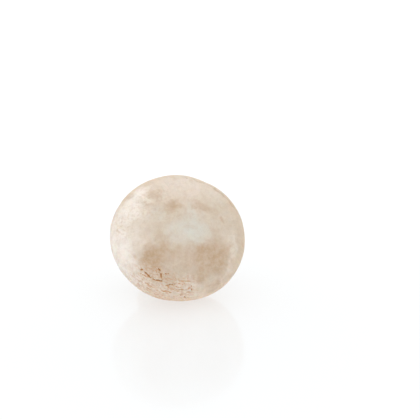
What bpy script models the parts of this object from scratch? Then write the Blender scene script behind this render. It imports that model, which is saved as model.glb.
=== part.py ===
"""White button mushroom, lying on its side with its cap to the front.

It comes apart into three pieces: the cap, the veil that closes the cap's underside, and the cut stem.
Units are metres and +Z is up. The mushroom stands on the plane Z = 0, over the origin.

Each piece is turned about the mushroom's own axis, which is its local Z: 0 is the level of the cap's
margin, the crown is above it and the stem's cut is below. Uneven growth is then put on the turned
shape, and all three pieces are laid down together until cap and stem both touch the ground.
"""

import math

import bpy
import numpy as np
from mathutils import Matrix, Vector

# Cap: radii are before growth makes it oval.
CAP_RADIUS = 0.0233
CROWN_HEIGHT = 0.0300
WIDEST_HEIGHT = 0.0120
DOME_FLATNESS = 2.2  # 2 is an ellipse; more gives a flatter crown and fuller shoulders
MARGIN_RADIUS = 0.0182  # where the margin reaches lowest
MARGIN_LIP = 0.0022  # how far the margin rolls in from there
RECESS_DEPTH = 0.0046  # of the underside, where veil and stem sit

# Stem
STEM_TOP_RADIUS = 0.0110
STEM_WAIST_RADIUS = 0.0103
STEM_FOOT_RADIUS = 0.0109
STEM_WAIST_LEVEL = -0.0065
STEM_CUT_LEVEL = -0.0155
STEM_EDGE = 0.0009  # rounding of the cut's edge

# Veil
VEIL_ROLL = 0.0016  # how far the veil bulges below its edges
VEIL_EDGE_LEVEL = 0.0026

GAP = 0.0003  # between pieces that touch

# Uneven growth
OVALNESS = 0.034  # share of the radius
OVAL_ANGLE = math.radians(-9)  # of the wide way, from X towards Y
UNEVEN = (  # bulges and flats: angle from X towards Y and spread, in degrees, and share of the radius
    (-52, 26, 0.026),
    (62, 20, -0.012),
    (207, 22, -0.014),
)
CROWN_SHIFT = Vector((0.0006, -0.0004))  # of the crown, off the stem's axis
MARGIN_WAVE = 0.0005  # rise and fall of the margin, twice round
MARGIN_WAVE_ANGLE = math.radians(23)

# Rest
PRESSED_FLAT = 0.0003  # how much of the flesh is flattened where it bears on the ground
TILT_RANGE = (math.radians(10), math.radians(60))
TILT_HALVINGS = 40

# Facets: segments round each piece, and steps along each curve of its outline
CAP_SEGMENTS = 72
VEIL_SEGMENTS = 60
STEM_SEGMENTS = 48
DOME_STEPS = 14
CAP_SIDE_STEPS = 9
MARGIN_LIP_STEPS = 4
VEIL_ROLL_STEPS = 8
STEM_UPPER_STEPS = 5
STEM_LOWER_STEPS = 4
STEM_EDGE_STEPS = 3
SHARP_ANGLE = math.radians(40)  # an edge that turns more than this is shaded sharp

# Cutter
GROUND_SIDE = 0.1
GROUND_THICKNESS = 0.01


def clear_scene():
    for obj in list(bpy.data.objects):
        bpy.data.objects.remove(obj, do_unlink=True)


def new_collection(name):
    made = bpy.data.collections.new(name)
    bpy.context.scene.collection.children.link(made)
    return made


def flesh_material(name, colour, roughness):
    made = bpy.data.materials.new(name)
    made.use_nodes = True
    shader = made.node_tree.nodes["Principled BSDF"]
    shader.inputs["Base Color"].default_value = (*colour, 1.0)
    shader.inputs["Roughness"].default_value = roughness
    shader.inputs["Metallic"].default_value = 0.0
    return made


def arc(centre, reach, start, stop, steps, flatness=2.0):
    """(radius, level) points of an ellipse, or of a fuller curve where flatness is over 2.

    reach holds the two half-axes. Angles are in degrees, 0 outwards and 90 upwards.
    """
    points = []
    for step in range(steps + 1):
        angle = math.radians(start + (stop - start) * step / steps)
        across, up = math.cos(angle), math.sin(angle)
        points.append((
            centre[0] + reach[0] * math.copysign(abs(across) ** (2 / flatness), across),
            centre[1] + reach[1] * math.copysign(abs(up) ** (2 / flatness), up),
        ))
    return points


def cap_profile():
    """From the crown down the outside, round the margin and in to the axis along the underside."""
    dome_reach = (CAP_RADIUS, CROWN_HEIGHT - WIDEST_HEIGHT)
    dome = arc((0, WIDEST_HEIGHT), dome_reach, 90, 0, DOME_STEPS, DOME_FLATNESS)
    side_reach = (CAP_RADIUS - MARGIN_RADIUS, WIDEST_HEIGHT)
    side = arc((MARGIN_RADIUS, WIDEST_HEIGHT), side_reach, 0, -90, CAP_SIDE_STEPS)
    lip = arc((MARGIN_RADIUS, MARGIN_LIP), (MARGIN_LIP, MARGIN_LIP), -90, -180, MARGIN_LIP_STEPS)
    recess_radius = MARGIN_RADIUS - MARGIN_LIP
    underside = [(recess_radius, RECESS_DEPTH), (recess_radius / 2, RECESS_DEPTH), (0, RECESS_DEPTH)]
    return dome + side[1:] + lip[1:] + underside


def veil_profile():
    """A closed outline: a flat band with a soft roll along its underside."""
    outer = MARGIN_RADIUS - MARGIN_LIP - GAP
    inner = STEM_TOP_RADIUS + GAP
    middle = (outer + inner) / 2
    top = RECESS_DEPTH - GAP
    roll = arc((middle, VEIL_EDGE_LEVEL), ((outer - inner) / 2, VEIL_ROLL), 0, -180, VEIL_ROLL_STEPS)
    return [(inner, top), (middle, top), (outer, top)] + roll


def stem_profile():
    """From the top of the stem, hidden in the cap, down to its cut end."""
    top = RECESS_DEPTH - GAP
    foot = STEM_CUT_LEVEL + STEM_EDGE
    side = []
    for start, stop, radius, steps in (
        (STEM_WAIST_LEVEL, top, STEM_TOP_RADIUS, STEM_UPPER_STEPS),
        (STEM_WAIST_LEVEL, foot, STEM_FOOT_RADIUS, STEM_LOWER_STEPS),
    ):
        flare = []
        for step in range(steps + 1):
            share = step / steps
            flare.append((
                STEM_WAIST_RADIUS + (radius - STEM_WAIST_RADIUS) * share**2,
                start + (stop - start) * share,
            ))
        side.append(flare)
    upper, lower = side
    edge = arc((STEM_FOOT_RADIUS - STEM_EDGE, foot), (STEM_EDGE, STEM_EDGE), 0, -90, STEM_EDGE_STEPS)
    return [(0, top)] + upper[::-1] + lower[1:] + edge[1:] + [(0, STEM_CUT_LEVEL)]


def turned(profile, segments, closed=False):
    """The mesh of a profile, turned about Z by a Screw modifier."""
    outline = bpy.data.meshes.new("outline")
    count = len(profile)
    edges = [(i, i + 1) for i in range(count - 1)]
    if closed:
        edges.append((count - 1, 0))
    outline.from_pydata([(radius, 0, level) for radius, level in profile], edges, [])
    blank = bpy.data.objects.new("blank", outline)
    bpy.context.scene.collection.objects.link(blank)
    screw = blank.modifiers.new("turn", "SCREW")
    screw.steps = screw.render_steps = segments
    screw.use_merge_vertices = True
    screw.merge_threshold = 0.00001
    made = bpy.data.meshes.new_from_object(
        blank.evaluated_get(bpy.context.evaluated_depsgraph_get())
    )
    bpy.data.objects.remove(blank, do_unlink=True)
    bpy.data.meshes.remove(outline)
    return made


def grown(point):
    """Where uneven growth puts a point of the evenly turned mushroom."""
    angle = math.atan2(point.y, point.x)
    swelling = 1 + OVALNESS * math.cos(2 * (angle - OVAL_ANGLE))
    for middle, spread, share in UNEVEN:
        away = (math.degrees(angle) - middle + 180) % 360 - 180
        swelling += share * math.exp(-((away / spread) ** 2))
    up_the_cap = max(0.0, point.z / CROWN_HEIGHT) ** 2
    down_to_margin = max(0.0, 1 - abs(point.z) / WIDEST_HEIGHT)
    outwards = min(1.0, math.hypot(point.x, point.y) / CAP_RADIUS)
    wave = MARGIN_WAVE * math.cos(2 * (angle - MARGIN_WAVE_ANGLE))
    return Vector((
        point.x * swelling + CROWN_SHIFT.x * up_the_cap,
        point.y * swelling + CROWN_SHIFT.y * up_the_cap,
        point.z + wave * down_to_margin * outwards,
    ))


def piece(name, profile, segments, material, collection, closed=False):
    mesh = turned(profile, segments, closed)
    mesh.name = name
    for vertex in mesh.vertices:
        vertex.co = grown(vertex.co)
    mesh.shade_smooth()
    mesh.set_sharp_from_angle(angle=SHARP_ANGLE)
    mesh.materials.clear()
    mesh.materials.append(material)
    obj = bpy.data.objects.new(name, mesh)
    collection.objects.link(obj)
    return obj


def points_of(obj):
    found = np.empty(len(obj.data.vertices) * 3, np.float32)
    obj.data.vertices.foreach_get("co", found)
    return found.reshape(-1, 3).astype(float)


def laid_down(tilt):
    """The turn that lays the mushroom on its side with the crown at the front, tilt above level."""
    return Matrix.Rotation(math.pi / 2 - tilt, 4, "X")


def resting_tilt(cap, stem):
    """The tilt at which cap and stem reach equally low, found by halving the range."""
    low, high = TILT_RANGE
    cap_points, stem_points = points_of(cap), points_of(stem)
    for _ in range(TILT_HALVINGS):
        middle = (low + high) / 2
        height = np.array(laid_down(middle))[2, :3]
        if (cap_points @ height).min() < (stem_points @ height).min():
            low = middle
        else:
            high = middle
    return (low + high) / 2


def set_on_ground(pieces, tilt):
    """Lays the pieces down on a shared empty, centred over the origin and pressed a little into Z = 0."""
    turn = laid_down(tilt)
    turned_points = np.vstack([points_of(obj) for obj in pieces]) @ np.array(turn)[:3, :3].T
    lowest, highest = turned_points.min(axis=0), turned_points.max(axis=0)
    centre = (lowest + highest) / 2
    axis = bpy.data.objects.new("mushroom_axis", None)
    bpy.context.scene.collection.objects.link(axis)
    place = Vector((-centre[0], -centre[1], -lowest[2] - PRESSED_FLAT))
    axis.matrix_world = Matrix.Translation(place) @ turn
    for obj in pieces:
        obj.parent = axis


def ground_cutter(collection):
    """A slab under the ground plane, which takes off the flesh pressed flat against it."""
    bpy.ops.mesh.primitive_cube_add(size=1, location=(0, 0, -GROUND_THICKNESS / 2))
    slab = bpy.context.active_object
    slab.name = "ground"
    slab.data.transform(Matrix.Diagonal((GROUND_SIDE, GROUND_SIDE, GROUND_THICKNESS, 1)))
    slab.hide_render = True
    slab.display_type = "WIRE"
    for owner in list(slab.users_collection):
        owner.objects.unlink(slab)
    collection.objects.link(slab)
    return slab


def press_flat(obj, ground):
    cut = obj.modifiers.new("pressed_flat", "BOOLEAN")
    cut.operation = "DIFFERENCE"
    cut.solver = "EXACT"
    cut.object = ground


def main():
    clear_scene()
    pieces = new_collection("button_mushroom")
    cutters = new_collection("cutters")
    skin = flesh_material("cap_skin", (0.72, 0.64, 0.55), 0.55)
    membrane = flesh_material("veil_membrane", (0.78, 0.70, 0.60), 0.75)
    fibre = flesh_material("stem_fibre", (0.75, 0.67, 0.57), 0.65)

    cap = piece("cap", cap_profile(), CAP_SEGMENTS, skin, pieces)
    veil = piece("veil", veil_profile(), VEIL_SEGMENTS, membrane, pieces, closed=True)
    stem = piece("stem", stem_profile(), STEM_SEGMENTS, fibre, pieces)

    set_on_ground([cap, veil, stem], resting_tilt(cap, stem))
    ground = ground_cutter(cutters)
    press_flat(cap, ground)
    press_flat(stem, ground)


main()
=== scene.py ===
"""The looks of the button mushroom: skin, bruises, torn scales, veil and cut stem, around its solids.

Each piece is made in the mushroom's own coordinates. Z is its axis: 0 is the level of the cap's margin,
the crown is above it and the stem's cut is below. Seen from the front, X is right and Y is up. The
pieces are then laid down where the solids are. Lengths are in metres, apart from the tables of patches
and tears, which are in millimetres. Angles are in degrees where they aren't turned into radians.
"""

import math

import bmesh
import bpy
import numpy as np
from mathutils import Matrix, Vector


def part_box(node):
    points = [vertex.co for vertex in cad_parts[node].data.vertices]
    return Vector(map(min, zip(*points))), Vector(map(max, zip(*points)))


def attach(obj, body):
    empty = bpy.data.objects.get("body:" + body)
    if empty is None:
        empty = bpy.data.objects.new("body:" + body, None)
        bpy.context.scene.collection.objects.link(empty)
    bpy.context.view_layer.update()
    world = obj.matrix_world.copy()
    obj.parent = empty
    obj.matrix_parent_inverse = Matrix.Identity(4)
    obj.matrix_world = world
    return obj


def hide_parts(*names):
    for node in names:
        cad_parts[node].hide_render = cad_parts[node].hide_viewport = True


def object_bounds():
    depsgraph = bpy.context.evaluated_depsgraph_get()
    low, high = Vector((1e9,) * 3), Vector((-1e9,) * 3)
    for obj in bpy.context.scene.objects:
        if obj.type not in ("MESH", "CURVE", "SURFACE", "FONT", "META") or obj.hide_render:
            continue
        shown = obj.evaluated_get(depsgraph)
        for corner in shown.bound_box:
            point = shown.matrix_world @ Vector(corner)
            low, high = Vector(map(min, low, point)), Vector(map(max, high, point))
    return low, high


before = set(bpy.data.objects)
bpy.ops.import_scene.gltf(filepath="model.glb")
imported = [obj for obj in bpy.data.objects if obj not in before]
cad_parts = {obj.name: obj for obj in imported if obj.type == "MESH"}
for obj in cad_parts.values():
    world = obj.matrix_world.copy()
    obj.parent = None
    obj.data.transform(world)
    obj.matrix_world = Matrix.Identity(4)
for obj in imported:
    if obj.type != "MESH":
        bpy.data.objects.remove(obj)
solid_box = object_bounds()

MM = 0.001

# The same growth as the solids have
CAP_RADIUS = 23.3 * MM
CROWN_HEIGHT = 30.0 * MM
WIDEST_HEIGHT = 12.0 * MM
DOME_FLATNESS = 2.2
MARGIN_RADIUS = 18.2 * MM
MARGIN_LIP = 2.2 * MM
RECESS_DEPTH = 4.6 * MM
STEM_TOP_RADIUS = 11.0 * MM
STEM_WAIST_RADIUS = 10.3 * MM
STEM_FOOT_RADIUS = 10.9 * MM
STEM_WAIST_LEVEL = -6.5 * MM
STEM_CUT_LEVEL = -15.5 * MM
OVALNESS = 0.034
OVAL_ANGLE = math.radians(-9)
UNEVEN = ((-52, 26, 0.026), (62, 20, -0.012), (207, 22, -0.014))
CROWN_SHIFT = (0.6 * MM, -0.4 * MM)
MARGIN_WAVE = 0.5 * MM
MARGIN_WAVE_ANGLE = math.radians(23)

# What only the looks have
STEM_EDGE = 0.8 * MM  # rounding of the knife's edge
GROOVE_BEFORE_MARGIN = 1.3 * MM
LIT_RIM_SIDE = 203  # where the cap's edge is whitest, with least of the painted rim shade: its lit side, in degrees from X towards Y
LIT_RIM_SPREAD = 34
HIDDEN_FROM = 27 * MM  # from the crown along the skin: where the photo begins to hide it
HIDDEN_WHOLLY = 33 * MM
FIBRE_UNIT = 20 * MM  # length along the fibres that the streaks count as one
VEIL_OUTER_RADIUS = 16.35 * MM  # both edges are sunk in the flesh beside them
VEIL_INNER_RADIUS = 10.4 * MM
VEIL_EDGE_LEVEL = 2.7 * MM
VEIL_BULGE = 2.0 * MM
VEIL_TOP = 4.2 * MM

# Fineness of each piece's mesh
LAYING_GRID = (16, 64)  # a coarse cap, only to find its place
CAP_GRID = (64, 132, 10)  # half the disc's width, rings, and how many of the rings are in the recess
STEM_GRID = (44, 112, 6)
VEIL_GRID = (56, 14, 420)  # points across its seen side and its hidden side, and sections around

# View
VIEW_AROUND = math.radians(-12)  # from the front, towards the mushroom's left
VIEW_ABOVE = math.radians(19)
VIEW_DISTANCE = 0.55
VIEW_WIDTH = 0.151  # at the mushroom's middle
VIEW_PLACE = (-0.0826, -0.0585)  # of the mushroom's middle, from the view's centre, as shares of its width

LIGHT_FROM = (-0.62, 0.10, 0.78)
LIGHT_CONTRAST = 1.15


# Shapes

def arc(centre, reach, start, stop, steps, flatness=2.0):
    """(radius, level) points of an ellipse, or of a fuller curve where flatness is over 2."""
    angle = np.radians(np.linspace(start, stop, steps + 1))
    across, up = np.cos(angle), np.sin(angle)
    return np.column_stack((
        centre[0] + reach[0] * np.sign(across) * np.abs(across) ** (2 / flatness),
        centre[1] + reach[1] * np.sign(up) * np.abs(up) ** (2 / flatness),
    ))


class Outline:
    """A half section, from its first point at the axis to its last, read by length along it."""

    def __init__(self, *parts):
        points = np.vstack(parts)
        steps = np.hypot(*np.diff(points, axis=0).T)
        kept = np.append(True, steps > 1e-9)
        self.points = points[kept]
        self.along = np.append(0, np.cumsum(steps[steps > 1e-9]))
        self.length = self.along[-1]

    def at(self, along):
        return np.column_stack([np.interp(along, self.along, self.points[:, i]) for i in (0, 1)])


def turned_grid(half, rings):
    """Vertices and faces of a closed round body, as angles and shares.

    A square grid, 2 * half faces wide, is spread into a disc at the start, so that its middle has no
    long thin faces. Rings follow it, each with 8 * half points, and a fan closes the end. For every vertex
    it gives its angle and its step: 0 to half on the disc, then on by one for each ring.
    """
    row = np.arange(-half, half + 1)
    across, up = [part.ravel() for part in np.meshgrid(row, row, indexing="ij")]
    step = np.maximum(abs(across), abs(up))
    side = np.maximum(step, 1)
    wide = abs(across) >= abs(up)
    eighth = math.pi / 4
    angle = np.where(
        wide,
        eighth * up / side * np.sign(across) + np.where(across < 0, math.pi, 0),
        eighth * (2 - across / side * np.sign(up)) + np.where(up < 0, math.pi, 0),
    )
    width = 2 * half + 1
    index = np.arange(width * width).reshape(width, width)
    faces = [np.stack((index[:-1, :-1], index[1:, :-1], index[1:, 1:], index[:-1, 1:]), -1).reshape(-1, 4)]

    count = 8 * half
    turn = 2 * math.pi / count
    edge = np.flatnonzero(step == half)
    previous = np.empty(count, int)
    previous[np.round(angle[edge] / turn).astype(int) % count] = edge
    angles, steps = [angle], [step.astype(float)]
    total = width * width
    for ring in range(1, rings + 1):
        current = total + np.arange(count)
        faces.append(np.stack((previous, current, np.roll(current, -1), np.roll(previous, -1)), -1))
        angles.append(np.arange(count) * turn)
        steps.append(np.full(count, half + ring, float))
        previous = current
        total += count
    angles.append([0.0])
    steps.append([float(half + rings + 1)])
    fan = np.stack((previous, np.full(count, total), np.roll(previous, -1)), -1)
    return np.concatenate(angles), np.concatenate(steps), np.vstack(faces), fan


def ring_grid(across, around):
    """Faces of a closed tube bent into a ring: across points to a section, around sections."""
    index = np.arange(across * around).reshape(around, across)
    beside = np.roll(index, -1, axis=0)
    return np.stack(
        (index, beside, np.roll(beside, -1, axis=1), np.roll(index, -1, axis=1)), -1
    ).reshape(-1, 4)


def grown(points):
    """Where uneven growth puts points of the evenly turned mushroom."""
    x, y, z = points.T
    angle = np.arctan2(y, x)
    swelling = 1 + OVALNESS * np.cos(2 * (angle - OVAL_ANGLE))
    for middle, spread, share in UNEVEN:
        away = (np.degrees(angle) - middle + 180) % 360 - 180
        swelling += share * np.exp(-((away / spread) ** 2))
    up_the_cap = np.maximum(0, z / CROWN_HEIGHT) ** 2
    down_to_margin = np.maximum(0, 1 - abs(z) / WIDEST_HEIGHT)
    outwards = np.minimum(1, np.hypot(x, y) / CAP_RADIUS)
    wave = MARGIN_WAVE * np.cos(2 * (angle - MARGIN_WAVE_ANGLE))
    return np.column_stack((
        x * swelling + CROWN_SHIFT[0] * up_the_cap,
        y * swelling + CROWN_SHIFT[1] * up_the_cap,
        z + wave * down_to_margin * outwards,
    ))


def turned(radius, level, angle):
    """Points at these radii and levels, turned to these angles and grown."""
    return grown(np.column_stack((radius * np.cos(angle), radius * np.sin(angle), level)))


# Noise and blending

def smooth(low, high, value):
    """0 up to low, 1 from high on, and an even S between; falls instead where high is the lower."""
    share = np.clip((value - low) / (high - low), 0, 1)
    return share * share * (3 - 2 * share)


def noise(points, size, seed, octaves=1):
    """Smooth noise of about -1 to 1 at each point, in lumps about size across."""
    generator = np.random.default_rng(seed)
    order = generator.permutation(256)
    slopes = generator.normal(size=(256, 3))
    slopes /= np.linalg.norm(slopes, axis=1)[:, None]
    total = np.zeros(len(points))
    gain = 1.5  # brings the values to about -1 to 1
    for octave in range(octaves):
        moved_on = 17.3 * octave
        scaled = points / size * 2**octave + moved_on
        cell = np.floor(scaled).astype(int)
        within = scaled - cell
        ease = within**3 * (within * (within * 6 - 15) + 10)
        for corner in np.ndindex(2, 2, 2):
            hashed = order[(cell[:, 0] + corner[0]) & 255]
            hashed = order[(hashed + cell[:, 1] + corner[1]) & 255]
            hashed = order[(hashed + cell[:, 2] + corner[2]) & 255]
            weight = np.prod(np.where(corner, ease, 1 - ease), axis=1)
            total += weight * ((within - corner) * slopes[hashed]).sum(axis=1) * gain / 2**octave
    return total


def around_noise(angle, along, lobes, length, seed, octaves=2):
    """Noise in streaks that run with along: about lobes of them to a full turn, each length long."""
    reach = lobes / (2 * math.pi)
    points = np.column_stack((reach * np.cos(angle), reach * np.sin(angle), along / length))
    return noise(points, 1.0, seed, octaves)


def cells(across, along, seed):
    """For points on a flat grid of loose unit cells: distance to the nearest border, distance along and
    across from the nearest cell's middle, and that cell's own random number."""
    table = np.random.default_rng(seed).random((64, 64, 3))
    column, row = np.floor(across).astype(int), np.floor(along).astype(int)
    far = 9.0
    nearest = np.full(len(across), far)
    second = np.full(len(across), far)
    lean, aside, own = np.zeros((3, len(across)))
    for i in (-1, 0, 1):
        for j in (-1, 0, 1):
            picked = table[(column + i) & 63, (row + j) & 63]
            from_middle = along - (row + j + picked[:, 1])
            beside_middle = across - (column + i + picked[:, 0])
            distance = np.hypot(beside_middle, from_middle)
            closer = distance < nearest
            second = np.where(closer, nearest, np.minimum(second, distance))
            lean = np.where(closer, from_middle, lean)
            aside = np.where(closer, beside_middle, aside)
            own = np.where(closer, picked[:, 2], own)
            nearest = np.where(closer, distance, nearest)
    return second - nearest, lean, aside, own


# Placing

def stem_axis():
    """The way the crown points, from the largest flat of the CAD stem that faces down: its cut."""
    areas = {}
    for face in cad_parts["stem"].data.polygons:
        if face.normal.z < -0.1:
            way = tuple(round(part, 3) for part in face.normal)
            areas[way] = areas.get(way, 0) + face.area
    return -Vector(max(areas, key=areas.get)).normalized()


def laying():
    """The matrix from the mushroom's own coordinates to the row's."""
    crown = stem_axis()
    tilt = math.atan2(crown.z, -crown.y)
    turn = Matrix.Rotation(math.pi / 2 - tilt, 4, "X")
    angle, step, _, _ = turned_grid(*LAYING_GRID)
    outline = cap_outline()
    cap = turned(*outline.at(step / step.max() * outline.length).T, angle) @ np.array(turn)[:3, :3].T
    low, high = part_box("cap")
    shift = (
        (low.x + high.x - cap[:, 0].min() - cap[:, 0].max()) / 2,
        (low.y + high.y - cap[:, 1].min() - cap[:, 1].max()) / 2,
        high.z - cap[:, 2].max(),
    )
    return Matrix.Translation(shift) @ turn


def new_piece(name, points, faces):
    mesh = bpy.data.meshes.new(name)
    mesh.from_pydata(points.tolist(), [], faces)
    shape = bmesh.new()
    shape.from_mesh(mesh)
    bmesh.ops.recalc_face_normals(shape, faces=shape.faces)
    shape.to_mesh(mesh)
    shape.free()
    mesh.shade_smooth()
    obj = bpy.data.objects.new(name, mesh)
    bpy.context.scene.collection.objects.link(obj)
    return obj


def read_points(mesh):
    found = np.empty(len(mesh.vertices) * 3, np.float32)
    mesh.vertices.foreach_get("co", found)
    return found.reshape(-1, 3).astype(float)


def vertex_normals(mesh):
    found = np.empty(len(mesh.vertices) * 3, np.float32)
    mesh.vertex_normals.foreach_get("vector", found)
    return found.reshape(-1, 3).astype(float)


def raise_skin(obj, height):
    """Moves each point outwards by its height."""
    points = read_points(obj.data) + vertex_normals(obj.data) * height[:, None]
    obj.data.vertices.foreach_set("co", points.astype(np.float32).ravel())
    obj.data.update()


def lay_down(obj, matrix):
    """Puts the piece in its place and presses it flat where it would go through the ground."""
    obj.data.transform(matrix)
    points = read_points(obj.data)
    points[:, 2] = np.maximum(points[:, 2], 0)
    obj.data.vertices.foreach_set("co", points.astype(np.float32).ravel())
    obj.data.update()


def paint(obj, **layers):
    """Stores a number or a vector for each point, for the material to read."""
    for name, values in layers.items():
        kind, field = ("FLOAT", "value") if values.ndim == 1 else ("FLOAT_VECTOR", "vector")
        layer = obj.data.attributes.new(name, kind, "POINT")
        layer.data.foreach_set(field, values.astype(np.float32).ravel())


# Materials

def add_node(tree, kind, inputs=None, **settings):
    """inputs maps a socket's name or number to its value, or to the output that feeds it."""
    node = tree.nodes.new(kind)
    for name, value in settings.items():
        setattr(node, name, value)
    for name, value in (inputs or {}).items():
        if isinstance(value, bpy.types.NodeSocket):
            tree.links.new(value, node.inputs[name])
        else:
            node.inputs[name].default_value = value
    return node


def attribute(tree, name, output="Fac"):
    return add_node(tree, "ShaderNodeAttribute", attribute_name=name).outputs[output]


def texture_noise(tree, vector, size, detail=3.0, roughness=0.5):
    """Noise in lumps about size across, in the vector's own unit."""
    inputs = {"Vector": vector, "Scale": 1 / size, "Detail": detail, "Roughness": roughness}
    return add_node(tree, "ShaderNodeTexNoise", inputs).outputs["Fac"]


def maths(tree, operation, first, second=0.0):
    return add_node(tree, "ShaderNodeMath", {0: first, 1: second}, operation=operation).outputs[0]


def product(tree, first, *others):
    for other in others:
        first = maths(tree, "MULTIPLY", first, other)
    return first


def ramp(tree, value, low, high, start=0.0, end=1.0):
    inputs = {"Value": value, "From Min": low, "From Max": high, "To Min": start, "To Max": end}
    return add_node(tree, "ShaderNodeMapRange", inputs, interpolation_type="SMOOTHSTEP").outputs[0]


def tint(tree, factor, base, colour, mode="MIX"):
    """base, with colour mixed in by factor."""
    inputs = {0: factor}
    for socket, value in ((6, base), (7, colour)):
        inputs[socket] = (*value, 1.0) if isinstance(value, tuple) else value
    return add_node(tree, "ShaderNodeMix", inputs, data_type="RGBA", blend_type=mode).outputs[2]


def streaked(tree, scale):
    """Noise drawn out along the piece's fibres."""
    way = attribute(tree, "fibre", "Vector")
    drawn = add_node(tree, "ShaderNodeVectorMath", {0: way, 1: scale}, operation="MULTIPLY")
    return texture_noise(tree, drawn.outputs[0], 1.0, 3, 0.6)


def bump(tree, height, distance, below=None):
    inputs = {"Height": height, "Distance": distance, "Strength": 1.0}
    if below is not None:
        inputs["Normal"] = below
    return add_node(tree, "ShaderNodeBump", inputs).outputs[0]


def flesh(name):
    """A new material with its tree and shader, set for moist, slightly translucent mushroom flesh."""
    material = bpy.data.materials.new(name)
    material.use_nodes = True
    tree = material.node_tree
    shader = tree.nodes["Principled BSDF"]
    shader.inputs["Metallic"].default_value = 0.0
    shader.inputs["IOR"].default_value = 1.4
    shader.inputs["Specular IOR Level"].default_value = 0.2
    shader.inputs["Subsurface Weight"].default_value = 0.35
    shader.inputs["Subsurface Radius"].default_value = (1.0, 0.55, 0.3)
    shader.inputs["Subsurface Scale"].default_value = 1.2 * MM
    return material, tree, shader


# Colours, linear
PALE = (0.66, 0.57, 0.465)
# a pale colour; on the cap also painted highlight
WHITE_AND_HIGHLIGHT = (0.88, 0.815, 0.745)
GREY = (0.68, 0.655, 0.585)
BLUSH = (0.75, 0.655, 0.56)
TAN = (0.595, 0.465, 0.35)
BROWN = (0.52, 0.365, 0.235)
# painted shade: the darker colour along the cap's rim
RIM_SHADE = (0.63, 0.50, 0.365)
# a warm colour; on the cap it is also painted bounce light low down
WARM_AND_BOUNCE_LIGHT = (0.93, 0.715, 0.55)
RUST = (0.58, 0.335, 0.18)
# the darkest brown, deep in the gaps: partly their own colour, partly painted shade
GAP_BROWN_AND_SHADE = (0.40, 0.18, 0.065)
CREAM = (0.72, 0.60, 0.465)
VEIL = (0.70, 0.545, 0.395)


# Patches on the cap's skin, as if it were peeled and laid flat about the crown, x right and y up.
# Each has its middle and half-widths in millimetres, its turn in degrees and its strength.

BRUISES = (
    (-13.0, -9.5, 5.6, 5.4, 0, 0.95),  # the large one, low on the left
    (-7.5, -7.5, 4.0, 2.4, -15, 0.60),
    (-9.0, -2.0, 3.0, 4.4, 10, 0.42),
    (8.5, -9.5, 7.2, 5.4, -8, 0.92),  # the large one, low on the right
    (11.5, -14.0, 3.8, 3.8, 30, 0.60),
    (5.0, -17.5, 2.6, 4.0, 12, 0.80),
    (-1.0, -10.5, 14.0, 7.0, 0, 0.40),  # the tan between and below them
    (-3.0, -16.0, 8.0, 5.0, 0, 0.30),
    (14.0, -22.0, 9.0, 5.0, -50, 0.30),
    (18.0, 4.0, 6.0, 11.0, 0, 0.22),
    (-4.2, 8.8, 3.4, 2.4, 25, 0.85),  # above the crown
    (-3.0, 4.0, 4.0, 2.0, 10, 0.26),
    (4.0, 9.4, 3.4, 1.5, -22, 0.55),
    (8.6, 6.6, 3.4, 2.0, -28, 0.60),
    (12.6, 2.0, 1.3, 1.1, 0, 0.65),
    (9.5, -1.0, 2.8, 3.8, 20, 0.30),
    (-9.2, 14.4, 3.4, 2.0, -8, 0.52),  # up on the left
    (-11.0, 10.2, 3.8, 3.0, 0, 0.30),
    (-20.5, 18.0, 2.8, 3.4, 40, 0.42),
    (-22.6, 6.0, 0.9, 2.6, 10, 0.40),
    (-24.6, 3.0, 1.8, 0.9, -20, 0.50),
    (15.6, 17.0, 2.8, 1.4, -38, 0.55),  # along the right edge
    (21.6, 9.8, 2.0, 1.6, -50, 0.42),
    (10.4, 20.8, 3.6, 0.8, -28, 0.75),
    (16.2, 16.6, 4.4, 0.8, -45, 0.90),
    (21.0, 10.4, 4.4, 0.8, -63, 0.80),
    (20.6, -2.6, 1.2, 1.8, 0, 0.35),
    (12.0, -20.8, 1.3, 1.1, -30, 0.85),  # towards the margin, low on the right
    (11.0, -24.5, 4.2, 2.8, -55, 0.45),
    (19.0, -19.0, 3.6, 1.6, 35, 0.45),
    (22.0, -18.4, 1.2, 0.7, -60, 0.75),
    (3.4, 23.0, 0.8, 0.6, 0, 0.70),
    (5.0, 21.0, 1.1, 0.8, 0, 0.40),
)
# Lighter patches: partly the skin's own paleness, partly painted highlight on the lit left side and painted
# bounce light low on the cap
PALE_AND_HIGHLIGHT_PATCHES = (
    (-28.0, -4.0, 10.0, 15.0, 0, 1.0),
    (-20.0, 10.0, 7.0, 6.0, 0, 0.9),
    (-15.5, 17.0, 5.0, 4.0, 0, 0.6),
    (-25.0, -18.0, 9.0, 10.0, 30, 0.75),
    (-16.0, 16.5, 3.4, 5.0, -35, 0.7),
    (1.0, -20.0, 4.0, 3.0, 0, 0.45),
    (-5.0, -25.5, 11.0, 5.0, 0, 0.50),
    (16.8, -9.5, 1.8, 6.5, 0, 0.45),
)
GREY_PATCHES = (
    (1.0, -0.8, 7.4, 5.0, 0, 1.0),  # the crown
    (-8.5, 6.8, 3.0, 2.4, 0, 0.5),
    (1.5, 6.0, 2.0, 5.0, 0, 0.5),
)
BLUSH_PATCHES = (
    (0.0, 18.0, 13.0, 8.0, 0, 1.0),
    (-17.0, 0.0, 6.0, 10.0, 0, 0.5),
    (13.0, 15.0, 6.0, 5.0, 0, 0.5),
)
FRECKLED = (
    (-11.0, 11.0, 9.0, 8.0, 0, 0.9),
    (-23.0, 5.0, 5.0, 6.0, 0, 0.8),
    (-3.0, 6.0, 7.0, 4.0, 0, 0.7),
    (10.0, 5.0, 8.0, 6.0, 0, 0.6),
    (-16.0, -20.0, 10.0, 7.0, 0, 0.7),
    (11.0, -18.0, 9.0, 8.0, 0, 0.5),
)

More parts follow.
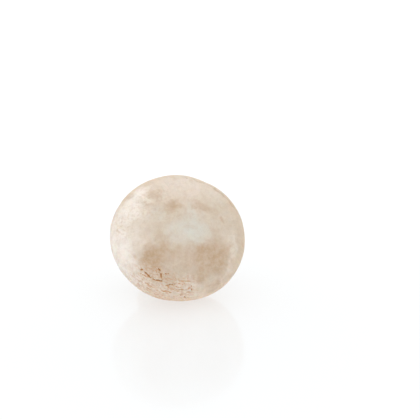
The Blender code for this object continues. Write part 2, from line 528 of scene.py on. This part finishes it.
# Open tears, each from one end to the other on the same flat skin, and how wide it gapes
TEARS = (
    (-16.9, -14.6, -14.5, -17.4, 0.50),
    (-14.2, -18.1, -10.4, -19.0, 0.58),
    (-10.7, -15.6, -10.5, -18.2, 0.26),
    (-18.5, -13.7, -17.3, -13.4, 0.36),
    (-11.5, -13.4, -10.6, -14.8, 0.38),
    (-9.6, -15.4, -7.6, -15.9, 0.20),
    (-9.0, -21.0, -5.4, -20.6, 0.22),
    (-4.6, -23.3, -0.6, -23.6, 0.28),
    (-3.6, -26.1, -1.0, -26.0, 0.28),
    (-1.0, -27.6, -0.3, -29.6, 0.30),
    (0.9, -21.4, 1.4, -24.0, 0.24),
    (-9.6, -25.4, -7.8, -25.6, 0.30),
    (24.2, -5.2, 24.4, -7.4, 0.50),
)

# Torn scales: length round the cap, depth towards the margin, strength and seed of each size of them
SCALE_SIZES = ((3.6 * MM, 1.15 * MM, 1.0, 73), (2.2 * MM, 0.75 * MM, 0.6, 75))
SCALE_RADIUS = 26 * MM


# Cap

def cap_outline():
    """From the crown down the outside, round the margin and in along the recess."""
    recess = MARGIN_RADIUS - MARGIN_LIP
    return Outline(
        arc((0, WIDEST_HEIGHT), (CAP_RADIUS, CROWN_HEIGHT - WIDEST_HEIGHT), 90, 0, 400, DOME_FLATNESS),
        arc((MARGIN_RADIUS, WIDEST_HEIGHT), (CAP_RADIUS - MARGIN_RADIUS, WIDEST_HEIGHT), 0, -90, 200),
        arc((MARGIN_RADIUS, MARGIN_LIP), (MARGIN_LIP, MARGIN_LIP), -90, -180, 40),
        [(recess, RECESS_DEPTH), (0, RECESS_DEPTH)],
    )


def patches(flat, table, ragged, seed):
    """How far each point of the flat skin is inside the patches, which have soft, ragged edges."""
    warp = [noise(flat, 5 * MM, seed + i, 4) for i in range(2)]
    x, y = (flat[:, :2] + np.column_stack(warp) * ragged).T / MM
    clear = np.ones(len(flat))
    for middle_x, middle_y, half_width, half_height, turn, strength in table:
        cosine, sine = math.cos(math.radians(turn)), math.sin(math.radians(turn))
        across = ((x - middle_x) * cosine + (y - middle_y) * sine) / half_width
        up = ((y - middle_y) * cosine - (x - middle_x) * sine) / half_height
        clear *= 1 - strength * smooth(1.6, 0.15, np.hypot(across, up))
    return 1 - clear


def tears(flat):
    """For the open tears, how deep each point lies in one, and how high in its lifted upper edge."""
    warp = np.column_stack([noise(flat, 1.8 * MM, seed, 2) for seed in (51, 52)]) * 0.35
    place = flat[:, :2] / MM + warp
    ragged = noise(flat, 0.9 * MM, 53, 2)
    depth = np.zeros(len(flat))
    lifted = np.zeros(len(flat))
    for start_x, start_y, stop_x, stop_y, width in TEARS:
        start = np.array((start_x, start_y))
        run = np.array((stop_x, stop_y)) - start
        share = np.clip((place - start) @ run / (run @ run), 0, 1)
        away = place - start - share[:, None] * run
        inwards = -(away * place).sum(axis=1) / np.hypot(*place.T).clip(1e-9)
        distance = np.hypot(*away.T)
        gape = width * (0.35 + 2.0 * share * (1 - share)) * (1 + 0.5 * ragged)
        depth = np.maximum(depth, smooth(1.25, 0.3, distance / gape))
        lifted = np.maximum(lifted, smooth(1.6, 0.2, distance) * smooth(-0.1, 0.5, inwards))
    return depth, lifted


def scaly_band(flat):
    """How far the skin is torn into scales: along the margin, low on the left, thinning out upwards."""
    x, y = flat[:, :2].T / MM
    out = np.hypot(x, y)
    angle = np.degrees(np.arctan2(y, x)) % 360
    around = smooth(200, 226, angle) * smooth(292, 266, angle)
    return around * smooth(15, 20, out + 2 * noise(flat, 5 * MM, 61)) * smooth(41, 36, out)


def scales(flat, band):
    """Height, gap and pale lip of the torn scales, like shingles that hang towards the margin."""
    out = np.hypot(*flat[:, :2].T)
    angle = np.arctan2(flat[:, 1], flat[:, 0])
    warp = [noise(flat, 2.6 * MM, seed, 2) for seed in (71, 72)]
    height, gap, lip = np.zeros((3, len(flat)))
    for length, depth, strength, seed in SCALE_SIZES:
        across = angle * SCALE_RADIUS / length + 0.5 * warp[0]
        border, lean, aside, own = cells(across, out / depth + 0.5 * warp[1], seed)
        opened = smooth(-0.75, 0.35, noise(flat, 3.6 * MM, seed + 1, 2) + 0.9 * (own - 0.4)) * band
        line = smooth(0.55, 0.10, border) * smooth(-0.12, 0.22, lean)
        line *= smooth(0.85, 0.45, abs(aside)) * opened
        gap = np.maximum(gap, line * (0.26 + 0.40 * own**2) * strength)
        lip = np.maximum(lip, smooth(0.0, 0.3, lean) * smooth(0.3, 0.6, border) * opened * strength)
        height += ((0.15 * lean + 0.10 * (own - 0.5)) * band - 0.20 * line) * MM * strength
    return height, gap, lip


def make_cap():
    outline = cap_outline()
    margin = outline.along[outline.points[:, 1].argmin()]
    half, rings, inner_rings = CAP_GRID
    angle, step, quads, fan = turned_grid(half, rings)
    outside = margin + MARGIN_LIP * math.pi / 2
    along = np.interp(
        step,
        (0, half, half + rings - inner_rings, half + rings, half + rings + 1),
        (0, 0.3 * outside, outside, 0.9 * outline.length, outline.length),
    )
    obj = new_piece("cap_skin", turned(*outline.at(along).T, angle), quads.tolist() + fan.tolist())
    points = read_points(obj.data)
    flat = np.column_stack((along * np.cos(angle), along * np.sin(angle), np.zeros(len(along))))

    down = -np.sin(angle)
    hidden = smooth(HIDDEN_FROM, HIDDEN_WHOLLY, along) * smooth(0.75, 0.3, down)
    wild = smooth(-0.1, 0.65, noise(points, 10 * MM, 41, 4)) * hidden
    bare = smooth(-0.1, 0.9, noise(points, 12 * MM, 46, 2)) * hidden
    to_margin = smooth(0.72, 0.93, along / margin)
    blotches = to_margin * smooth(-0.35, 0.6, noise(points, 6 * MM, 42, 4))
    sound = (1 - patches(flat, BRUISES, 1.8 * MM, 31)) * (1 - 0.8 * wild)
    bruise = 1 - sound * (1 - 0.7 * blotches * hidden)
    freckled = np.maximum(patches(flat, FRECKLED, 3 * MM, 39), 0.7 * hidden)
    # Partly a warm tone near the margin all round, partly painted bounce light, strongest on the lower side
    warm = smooth(0.40, 0.75, along / margin) * (0.25 + 0.70 * smooth(0.2, 1.0, down))
    # Painted shade along the cap's rim, darker towards the edge, with little of it on the lit side and low
    # down
    to_lit_side = (np.degrees(angle) - LIT_RIM_SIDE + 180) % 360 - 180
    edge = smooth(16 * MM, 27 * MM, along) * (1 - 0.9 * np.exp(-((to_lit_side / LIT_RIM_SPREAD) ** 2)))
    edge *= 1 - 0.75 * smooth(0.45, 0.85, down)
    depth, lifted = tears(flat)
    band = scaly_band(flat)
    scale_height, gap, lip = scales(flat, band)
    out = smooth(7 * MM, 22 * MM, along)
    # A shallow groove before the margin, which the colour also darkens with painted shade
    groove = smooth(0.5 * MM, 0.1 * MM, abs(along - margin + GROOVE_BEFORE_MARGIN))
    groove *= smooth(-0.35, 0.25, noise(points, 7 * MM, 44, 2))
    near_margin = smooth(0.8, 1.0, along / margin)
    height = (
        0.28 * MM * noise(points, 13 * MM, 1)
        + 0.08 * MM * noise(points, 4 * MM, 2, 2)
        + 0.03 * MM * around_noise(angle, along, 56, 9 * MM, 43) * out
        + 0.10 * MM * around_noise(angle, along, 24, 6 * MM, 45) * near_margin
        - 0.10 * MM * bruise
        - 0.25 * MM * groove
        + scale_height
        + 0.20 * MM * lifted * (1 - depth)
        - 0.32 * MM * depth
    )
    raise_skin(obj, height * smooth(outside, 0.98 * outside, along))
    # Painted shade where the lip folds in towards the recess
    fold = smooth(margin + 1.2 * MM, margin + 3 * MM, along)
    # Painted shade low on the rim, where the cap rests on the ground
    contact_shade = 0.7 * smooth(34.5 * MM, 38 * MM, along) * smooth(0.7, 0.95, down)
    paint(
        obj,
        bruise=bruise,
        # white: partly pale skin, partly painted highlight and bounce light
        white=np.maximum(patches(flat, PALE_AND_HIGHLIGHT_PATCHES, 3 * MM, 33), 0.5 * bare),
        grey=patches(flat, GREY_PATCHES, 2 * MM, 35),
        blush=patches(flat, BLUSH_PATCHES, 3 * MM, 37),
        freckled=freckled,
        # partly a warm tone, partly painted bounce light on the lower side
        warm=warm,
        # edge: the painted shade along the rim
        edge=edge,
        # rust-coloured blotches, and painted shade in the groove, the fold and along the ground
        rusty=np.max((blotches * hidden, groove, fold, contact_shade), axis=0),
        # gap: the tears and scale gaps, browned flesh with painted shade
        gap=np.maximum(depth, gap),
        lip=lip,
        band=band,
        out=out,
        fibre=np.column_stack((np.cos(angle), np.sin(angle), along / FIBRE_UNIT)),
    )
    obj.data.materials.append(cap_material())
    return obj


def cap_material():
    material, tree, shader = flesh("cap_skin")
    place = add_node(tree, "ShaderNodeTexCoord").outputs["Object"]
    broad = texture_noise(tree, place, 6 * MM, 4, 0.55)
    middling = texture_noise(tree, place, 2.4 * MM, 4, 0.6)
    small = texture_noise(tree, place, 1.1 * MM, 3, 0.6)
    fine = texture_noise(tree, place, 0.5 * MM, 3, 0.6)
    out = attribute(tree, "out")
    streaks = product(tree, maths(tree, "SUBTRACT", streaked(tree, (20.0, 20.0, 2.2)), 0.5), out)

    colour = tint(tree, ramp(tree, broad, 0.35, 0.7, 0.0, 0.5), PALE, BLUSH)
    # painted shade along the cap's rim
    colour = tint(tree, product(tree, attribute(tree, "edge"), 0.85), colour, RIM_SHADE)
    # painted bounce light: warmer and lighter near the margin, most on the lower side
    warmth = product(tree, attribute(tree, "warm"), ramp(tree, middling, 0.3, 0.7, 0.6, 1.0))
    colour = tint(tree, warmth, colour, WARM_AND_BOUNCE_LIGHT)
    colour = tint(tree, attribute(tree, "blush"), colour, BLUSH)
    # partly pale skin, partly painted highlight and bounce light
    colour = tint(tree, attribute(tree, "white"), colour, WHITE_AND_HIGHLIGHT)
    colour = tint(tree, attribute(tree, "grey"), colour, GREY)
    colour = tint(tree, ramp(tree, middling, 0.42, 0.72, 0.0, 0.35), colour, TAN)

    coarse_mottle = ramp(tree, middling, 0.3, 0.7, 0.68, 1.08)
    mottle = maths(tree, "ADD", coarse_mottle, ramp(tree, small, 0.3, 0.7, -0.14, 0.14))
    bruised = product(tree, attribute(tree, "bruise"), mottle)
    colour = tint(tree, ramp(tree, bruised, 0.04, 0.72), colour, TAN)
    colour = tint(tree, ramp(tree, bruised, 0.55, 1.15), colour, BROWN)
    # Rust-coloured blotches, and painted shade in the groove, the fold and along the ground
    rust = product(tree, attribute(tree, "rusty"), ramp(tree, small, 0.35, 0.65, 0.3, 0.85))
    colour = tint(tree, rust, colour, RUST)

    freckles = product(tree, attribute(tree, "freckled"), ramp(tree, small, 0.46, 0.68, 0.0, 0.55))
    colour = tint(tree, freckles, colour, TAN)
    specks = ramp(tree, texture_noise(tree, place, 0.8 * MM, 2, 0.7), 0.69, 0.76, 0.0, 0.4)
    colour = tint(tree, specks, colour, BROWN)
    torn = product(tree, attribute(tree, "band"), ramp(tree, small, 0.42, 0.62, 0.0, 0.28))
    colour = tint(tree, torn, colour, RUST)
    colour = tint(tree, product(tree, attribute(tree, "lip"), 0.7), colour, WHITE_AND_HIGHLIGHT)
    lines = maths(tree, "ADD", product(tree, streaks, 0.22), ramp(tree, fine, 0.25, 0.75, 0.965, 1.035))
    colour = tint(tree, 1.0, colour, lines, "MULTIPLY")
    # The gaps of tears and scales: partly their own browned flesh, partly painted shade deep in them
    gap = attribute(tree, "gap")
    colour = tint(tree, ramp(tree, gap, 0.0, 0.5), colour, RUST)
    colour = tint(tree, ramp(tree, gap, 0.4, 1.0), colour, GAP_BROWN_AND_SHADE)
    tree.links.new(colour, shader.inputs["Base Color"])

    roughness = maths(tree, "ADD", ramp(tree, small, 0.3, 0.7, 0.46, 0.60), product(tree, bruised, 0.08))
    tree.links.new(roughness, shader.inputs["Roughness"])
    grain = bump(tree, fine, 0.04 * MM)
    lumpy = bump(tree, small, 0.05 * MM, grain)
    fibrous = bump(tree, streaks, 0.07 * MM, lumpy)
    tree.links.new(fibrous, shader.inputs["Normal"])
    return material


# Veil

def make_veil():
    """The membrane from the margin to the stem: a soft roll, with its hidden side flat in the recess."""
    across, hidden_across, around = VEIL_GRID
    share = np.linspace(0, 1, across)
    width = VEIL_OUTER_RADIUS - VEIL_INNER_RADIUS
    section = np.vstack((
        np.column_stack((
            VEIL_OUTER_RADIUS - width * share,
            VEIL_EDGE_LEVEL - VEIL_BULGE * np.sin(math.pi * share**0.85) ** 0.72,
        )),
        np.column_stack((
            np.linspace(VEIL_INNER_RADIUS, VEIL_OUTER_RADIUS, hidden_across),
            np.full(hidden_across, VEIL_TOP),
        )),
    ))
    seen = np.append(np.ones(across), np.zeros(hidden_across))
    share = np.append(share, np.linspace(1, 0, hidden_across))
    angle = np.repeat(np.arange(around) * 2 * math.pi / around, len(section))
    radius, level = np.tile(section, (around, 1)).T
    share, seen = np.tile(share, around), np.tile(seen, around)
    slack = around_noise(angle, share * 0, 5, 1, 87)
    level -= seen * MM * (0.55 * slack * smooth(0.5, 0, share) + 0.45 * slack * smooth(0, 0.5, share))

    obj = new_piece("veil_membrane", turned(radius, level, angle), ring_grid(len(section), around).tolist())
    points = read_points(obj.data)
    free = seen * smooth(0, 0.1, share) * smooth(1, 0.92, share)
    folds = around_noise(angle, share * width, 120, 7 * MM, 81, 3)
    pleat = 0.5 + 0.12 * around_noise(angle, share * 0, 9, 1, 84)
    fold_line = smooth(0.07, 0.0, abs(share - pleat - 0.16))
    fold_line *= smooth(-0.2, 0.3, around_noise(angle, share * 0, 7, 1, 85))
    height = (
        0.11 * MM * folds
        + 0.32 * MM * noise(points, 5 * MM, 82, 2)
        - 0.30 * MM * fold_line
    )
    raise_skin(obj, height * free)
    # Painted shade in the creases where the veil meets the cap's margin and the stem
    crease = np.maximum(smooth(0.17, 0.04, share), smooth(0.84, 0.95, share))
    paint(
        obj,
        crease=crease * smooth(-0.7, 0.2, noise(points, 6 * MM, 86, 2)),
        fold=fold_line,
        bruise=smooth(0.05, 0.7, noise(points, 7 * MM, 83, 3)),
        fibre=np.column_stack((np.cos(angle), np.sin(angle), share * width / FIBRE_UNIT)),
    )
    obj.data.materials.append(veil_material())
    return obj


def veil_material():
    material, tree, shader = flesh("veil_membrane")
    place = add_node(tree, "ShaderNodeTexCoord").outputs["Object"]
    middling = texture_noise(tree, place, 2.2 * MM, 4, 0.6)
    fine = texture_noise(tree, place, 0.6 * MM, 3, 0.6)
    streaks = streaked(tree, (26.0, 26.0, 3.0))

    colour = tint(tree, ramp(tree, middling, 0.35, 0.7), VEIL, CREAM)
    stains = product(tree, attribute(tree, "bruise"), ramp(tree, middling, 0.3, 0.7, 0.2, 0.7))
    colour = tint(tree, stains, colour, RUST)
    # painted shade in the creases at both edges of the veil
    creased = product(tree, attribute(tree, "crease"), ramp(tree, streaks, 0.3, 0.65, 0.55, 1.0))
    colour = tint(tree, creased, colour, RUST)
    colour = tint(tree, product(tree, attribute(tree, "fold"), 0.5), colour, TAN)
    broad_lines = ramp(tree, streaks, 0.25, 0.75, 0.90, 1.04)
    lines = maths(tree, "ADD", broad_lines, ramp(tree, fine, 0.3, 0.7, -0.03, 0.03))
    colour = tint(tree, 1.0, colour, lines, "MULTIPLY")
    tree.links.new(colour, shader.inputs["Base Color"])

    tree.links.new(ramp(tree, fine, 0.3, 0.7, 0.62, 0.78), shader.inputs["Roughness"])
    grain = bump(tree, fine, 0.04 * MM)
    tree.links.new(bump(tree, streaks, 0.12 * MM, grain), shader.inputs["Normal"])
    return material


# Stem

def stem_outline():
    """From the middle of the cut, round its edge and up the side to the top, hidden in the cap."""
    foot = STEM_CUT_LEVEL + STEM_EDGE
    top = RECESS_DEPTH - 0.3 * MM
    share = np.linspace(0, 1, 60)

    def flare(radius, end):
        return np.column_stack((
            STEM_WAIST_RADIUS + (radius - STEM_WAIST_RADIUS) * share**2,
            STEM_WAIST_LEVEL + (end - STEM_WAIST_LEVEL) * share,
        ))

    return Outline(
        [(0, STEM_CUT_LEVEL)],
        arc((STEM_FOOT_RADIUS - STEM_EDGE, foot), (STEM_EDGE, STEM_EDGE), -90, 0, 12),
        flare(STEM_FOOT_RADIUS, foot)[::-1],
        flare(STEM_TOP_RADIUS, top),
        [(0, top)],
    )


def make_stem():
    outline = stem_outline()
    half, rings, inner_rings = STEM_GRID
    angle, step, quads, fan = turned_grid(half, rings)
    cut_width = STEM_FOOT_RADIUS - STEM_EDGE
    side = outline.length - STEM_TOP_RADIUS
    along = np.interp(
        step,
        (0, half, half + rings - inner_rings, half + rings, half + rings + 1),
        (0, cut_width, side, side + 0.8 * STEM_TOP_RADIUS, outline.length),
    )
    radius, level = outline.at(along).T
    obj = new_piece("stem_flesh", turned(radius, level, angle), quads.tolist() + fan.tolist())
    points = read_points(obj.data)
    cut = smooth(cut_width + 0.6 * MM, cut_width, along)
    from_middle = radius / STEM_FOOT_RADIUS
    x, y = points[:, 0], points[:, 1]

    knife = (0.8 * x + 0.6 * y) / MM + 0.6 * noise(points, 6 * MM, 91)
    strokes = np.sin(2.6 * knife) * smooth(-0.2, 0.4, noise(points, 5 * MM, 92))
    flat_points = np.column_stack((x, y, np.zeros(len(x))))
    pith = smooth(0.62, 0.30, from_middle + 0.10 * noise(flat_points, 3 * MM, 93, 2))
    pores = smooth(0.42, 0.70, noise(flat_points, 0.9 * MM, 94, 2)) * cut * (0.35 + 0.65 * pith)
    cut_height = (
        -0.55 * MM * smooth(1.0, 0.2, from_middle)
        + 0.05 * MM * strokes
        + 0.09 * MM * noise(flat_points, 1.6 * MM, 95, 3)
        - 0.22 * MM * pores
        + 0.28 * MM * smooth(0.80, 0.97, from_middle) * smooth(0.1, 0.6, noise(flat_points, 7 * MM, 96))
    )
    ribs = around_noise(angle, along, 46, 9 * MM, 97, 3)
    torn = smooth(0.30, 0.75, around_noise(angle, along, 30, 5 * MM, 98, 2))
    torn *= smooth(side, side - 4 * MM, along)
    side_height = (
        0.10 * MM * ribs
        + 0.38 * MM * noise(points, 8 * MM, 99, 2) * smooth(-15 * MM, -9 * MM, level)
        + 0.16 * MM * torn
        + 0.10 * MM * around_noise(angle, along, 14, 30 * MM, 100)
    )
    height = cut * cut_height + (1 - cut) * side_height
    raise_skin(obj, height * smooth(side, side - 0.4 * MM, along))
    # Painted shade in the crease where the stem goes into the cap
    neck_shade = smooth(-0.6 * MM, 2.2 * MM, level) * (1 - cut)
    ring = smooth(0.72, 0.90, from_middle + 0.05 * noise(flat_points, 2 * MM, 101, 2)) * cut
    paint(
        obj,
        cut=cut,
        ring=ring,
        pith=pith * cut,
        pores=pores,
        crease=neck_shade,
        torn=torn * (1 - cut),
        bruise=smooth(-0.05, 0.75, noise(points, 7 * MM, 102, 4)),
        handled=smooth(-9 * MM, -15 * MM, level) * (1 - cut),
        fibre=np.column_stack((np.cos(angle), np.sin(angle), along / FIBRE_UNIT)),
    )
    obj.data.materials.append(stem_material())
    return obj


def stem_material():
    material, tree, shader = flesh("stem_flesh")
    place = add_node(tree, "ShaderNodeTexCoord").outputs["Object"]
    middling = texture_noise(tree, place, 2.4 * MM, 4, 0.6)
    small = texture_noise(tree, place, 1.0 * MM, 3, 0.6)
    fine = texture_noise(tree, place, 0.45 * MM, 3, 0.6)
    cut = attribute(tree, "cut")
    along = streaked(tree, (16.0, 16.0, 2.4))
    sided = maths(tree, "SUBTRACT", 1.0, cut)
    streaks = product(tree, maths(tree, "SUBTRACT", along, 0.5), sided)

    colour = tint(tree, ramp(tree, middling, 0.35, 0.7, 0.0, 0.7), CREAM, BLUSH)
    colour = tint(tree, product(tree, attribute(tree, "torn"), 0.5), colour, WHITE_AND_HIGHLIGHT)
    stained = product(tree, attribute(tree, "bruise"), ramp(tree, middling, 0.3, 0.7, 0.45, 1.05), sided)
    colour = tint(tree, ramp(tree, stained, 0.1, 0.7, 0.0, 0.5), colour, RUST)
    colour = tint(tree, ramp(tree, stained, 0.6, 1.05, 0.0, 0.6), colour, BROWN)
    handled = product(tree, attribute(tree, "handled"), ramp(tree, along, 0.35, 0.65, 0.1, 0.75))
    colour = tint(tree, handled, colour, WARM_AND_BOUNCE_LIGHT)
    # painted shade where the stem goes into the cap
    creased = product(tree, attribute(tree, "crease"), ramp(tree, along, 0.3, 0.7, 0.3, 0.7))
    colour = tint(tree, creased, colour, RUST)

    inside = tint(tree, ramp(tree, small, 0.35, 0.65, 0.0, 0.8), CREAM, BLUSH)
    warmed = product(tree, attribute(tree, "pith"), ramp(tree, small, 0.3, 0.7, 0.2, 0.7))
    inside = tint(tree, warmed, inside, WARM_AND_BOUNCE_LIGHT)
    ring = attribute(tree, "ring")
    tanned = product(tree, ring, ramp(tree, middling, 0.35, 0.65, 0.25, 0.9))
    inside = tint(tree, tanned, inside, TAN)
    browned = product(tree, ring, ramp(tree, small, 0.5, 0.7, 0.0, 0.6))
    inside = tint(tree, browned, inside, BROWN)
    inside = tint(tree, product(tree, attribute(tree, "pores"), 0.7), inside, RUST)
    colour = tint(tree, cut, colour, inside)
    lines = maths(tree, "ADD", product(tree, streaks, 0.35), ramp(tree, fine, 0.25, 0.75, 0.955, 1.04))
    colour = tint(tree, 1.0, colour, lines, "MULTIPLY")
    tree.links.new(colour, shader.inputs["Base Color"])

    tree.links.new(ramp(tree, small, 0.3, 0.7, 0.58, 0.74), shader.inputs["Roughness"])
    grain = bump(tree, fine, 0.06 * MM)
    lumpy = bump(tree, small, 0.06 * MM, grain)
    tree.links.new(bump(tree, streaks, 0.16 * MM, lumpy), shader.inputs["Normal"])
    return material


# Floor, light and view

def make_floor():
    """A wide pale floor with a faint gloss, which fades to white away from the mushroom."""
    mesh = bpy.data.meshes.new("floor")
    reach = 3.0
    corners = [(-reach, -reach, 0), (reach, -reach, 0), (reach, reach, 0), (-reach, reach, 0)]
    mesh.from_pydata(corners, [], [(0, 1, 2, 3)])
    obj = bpy.data.objects.new("floor", mesh)
    bpy.context.scene.collection.objects.link(obj)
    material = bpy.data.materials.new("floor")
    material.use_nodes = True
    tree = material.node_tree
    shader = tree.nodes["Principled BSDF"]
    shader.inputs["Base Color"].default_value = (0.30, 0.30, 0.30, 1.0)
    shader.inputs["Roughness"].default_value = 0.12
    shader.inputs["Specular IOR Level"].default_value = 0.3
    shader.inputs["Emission Color"].default_value = (0.97, 0.99, 1.0, 1.0)
    place = add_node(tree, "ShaderNodeTexCoord").outputs["Object"]
    distance = add_node(tree, "ShaderNodeVectorMath", {0: place}, operation="LENGTH").outputs["Value"]
    tree.links.new(ramp(tree, distance, 0.04, 0.20, 0.61, 0.67), shader.inputs["Emission Strength"])
    mesh.materials.append(material)


def make_light():
    world = bpy.data.worlds.new("studio")
    bpy.context.scene.world = world
    world.use_nodes = True
    tree = world.node_tree
    background = tree.nodes["Background"]
    background.inputs["Color"].default_value = (1.0, 1.0, 1.0, 1.0)
    way = add_node(tree, "ShaderNodeTexCoord").outputs["Generated"]
    towards = add_node(tree, "ShaderNodeVectorMath", {0: way, 1: LIGHT_FROM}, operation="DOT_PRODUCT")
    strength = ramp(tree, towards.outputs["Value"], -0.2, 1.0, 1.0, LIGHT_CONTRAST)
    tree.links.new(strength, background.inputs["Strength"])
    bpy.context.scene.view_settings.view_transform = "Standard"


def make_camera(middle):
    back = Vector((
        math.sin(VIEW_AROUND) * math.cos(VIEW_ABOVE),
        -math.cos(VIEW_AROUND) * math.cos(VIEW_ABOVE),
        math.sin(VIEW_ABOVE),
    ))
    right = Vector((math.cos(VIEW_AROUND), math.sin(VIEW_AROUND), 0))
    up = back.cross(right)
    aim = middle - (right * VIEW_PLACE[0] + up * VIEW_PLACE[1]) * VIEW_WIDTH
    lens = bpy.data.cameras.new("camera")
    lens.angle = 2 * math.atan(VIEW_WIDTH / 2 / VIEW_DISTANCE)
    lens.clip_start = 0.01
    lens.clip_end = 10.0
    camera = bpy.data.objects.new("camera", lens)
    camera.matrix_world = Matrix.Translation(aim + back * VIEW_DISTANCE) @ Matrix(
        (right, up, back)
    ).transposed().to_4x4()
    bpy.context.scene.collection.objects.link(camera)
    bpy.context.scene.camera = camera


def finish_piece(obj, matrix, node):
    lay_down(obj, matrix)
    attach(obj, "root")
    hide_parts(node)


matrix = laying()
finish_piece(make_cap(), matrix, "cap")
finish_piece(make_veil(), matrix, "veil")
finish_piece(make_stem(), matrix, "stem")
make_floor()
make_light()
low, high = [Vector(corner) for corner in solid_box]
make_camera((low + high) / 2)
